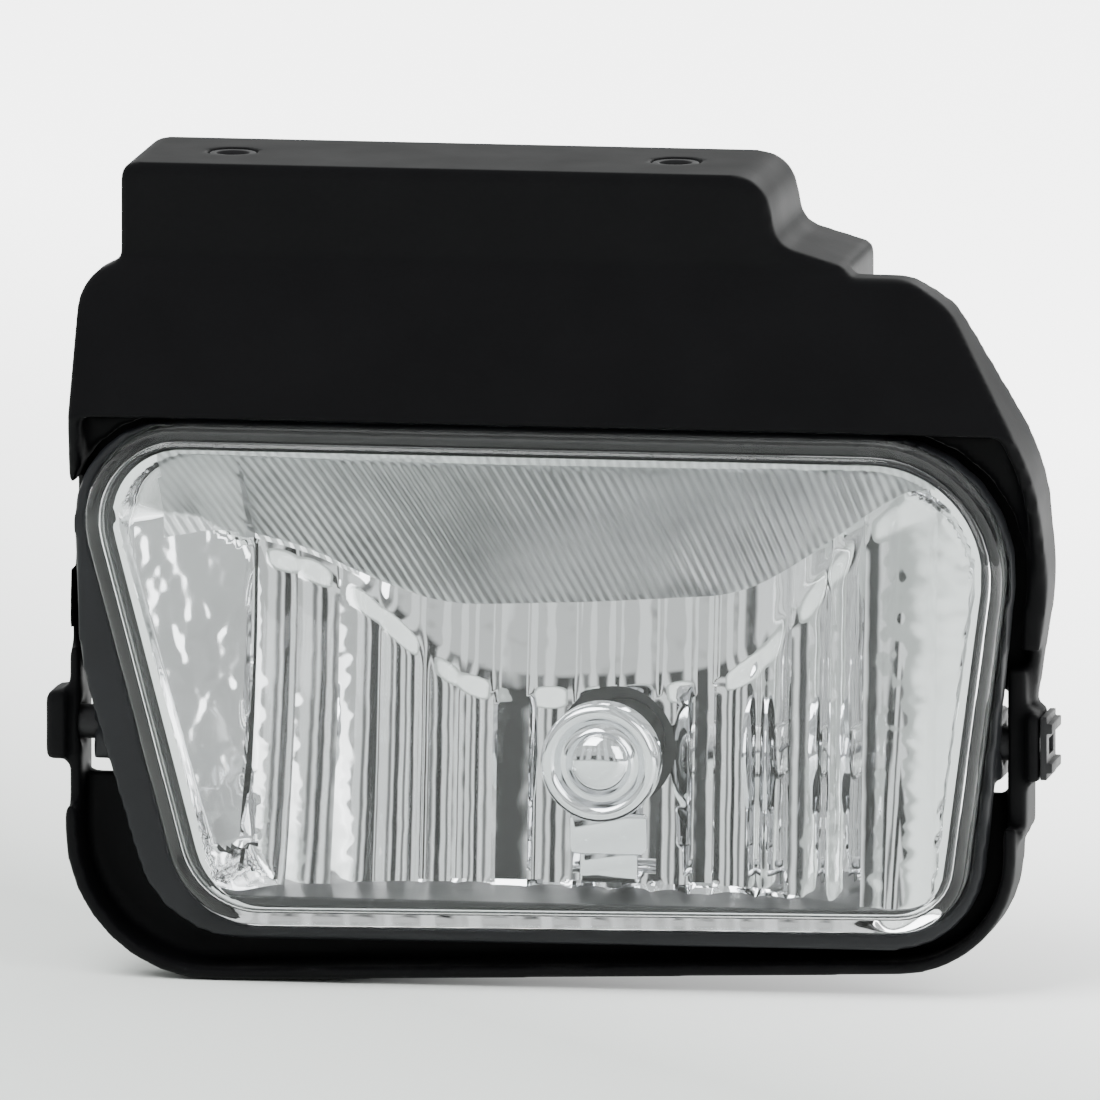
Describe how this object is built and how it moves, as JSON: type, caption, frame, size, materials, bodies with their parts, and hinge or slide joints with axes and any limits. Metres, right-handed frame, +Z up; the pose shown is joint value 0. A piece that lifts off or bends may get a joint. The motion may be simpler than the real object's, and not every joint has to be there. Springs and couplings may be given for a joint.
{
  "type": "fog light",
  "caption": "Front fog light with a trapezoidal clear lens, fluted reflector and shielded bulb, tilting in a hooded mounting bracket.",
  "frame": {"origin": "top face of the bracket's mounting shelf, midway between its two bolt holes", "axes": "+Z up, the lens faces -Y, +X to the right seen from the front"},
  "size_m": [0.2043, 0.078, 0.1638],
  "materials": {
    "black_moulding": "fine moulded grain",
    "zinc_steel": "zinc plated",
    "clear_lens": "polished",
    "black_rubber": "matt",
    "grey_housing": "satin",
    "aluminised": "vacuum metallised",
    "chrome": "polished",
    "clear_glass": "polished",
    "base_plastic": "satin",
    "brass_blade": "tinned",
    "tungsten": "drawn wire",
    "white_nylon": "matt",
    "black_steel": "phosphated"
  },
  "bodies": {
    "bracket": {"mounting_bracket": "black_moulding", "pivot_clip": "zinc_steel", "bolt_sleeve_left": "black_steel", "bolt_sleeve_right": "black_steel"},
    "lamp": {"lens": "clear_lens", "lens_seal": "black_rubber", "lamp_housing": "grey_housing", "reflector": "aluminised", "bulb_shield": "chrome", "shield_rivet": "zinc_steel", "pivot_pin_left": "zinc_steel", "pivot_pin_right": "zinc_steel", "vent_cap": "black_rubber", "reflector_screw_1": "zinc_steel", "reflector_screw_2": "zinc_steel", "reflector_screw_3": "zinc_steel"},
    "bulb": {"bulb_base": "base_plastic", "bulb_capsule": "clear_glass", "bulb_ferrule": "zinc_steel", "bulb_filament": "tungsten", "lead_wire_left": "zinc_steel", "lead_wire_right": "zinc_steel", "terminal_left": "brass_blade", "terminal_right": "brass_blade", "bulb_o_ring": "black_rubber"},
    "adjuster": {"adjuster_screw": "zinc_steel", "adjuster_clip": "zinc_steel"},
    "nut": {"adjuster_nut": "white_nylon"}
  },
  "joints": [
    {"name": "aim_tilt", "type": "hinge", "parent": "bracket", "child": "lamp", "pos_m": [0.023, -0.0222, -0.1131], "axis": [1, 0, 0], "range_deg": [-2.5, 2.5]},
    {"name": "adjuster_turn", "type": "hinge", "parent": "bracket", "child": "adjuster", "pos_m": [0.0338, 0.0195, -0.0676], "axis": [0, 1, 0], "range_deg": [-360, 360]},
    {"name": "nut_travel", "type": "slide", "parent": "bracket", "child": "nut", "axis": [0, 1, 0], "range_m": [-0.00202, 0.00202]},
    {"name": "bulb_twist", "type": "hinge", "parent": "lamp", "child": "bulb", "pos_m": [0.0338, 0.0185, -0.1184], "axis": [0, 1, 0], "range_deg": [0, 40]}
  ],
  "couplings": [
    {"joint": "adjuster_turn", "follows": "aim_tilt", "ratio": -142.94},
    {"joint": "nut_travel", "follows": "aim_tilt", "m_per_rad": -0.0455}
  ]
}
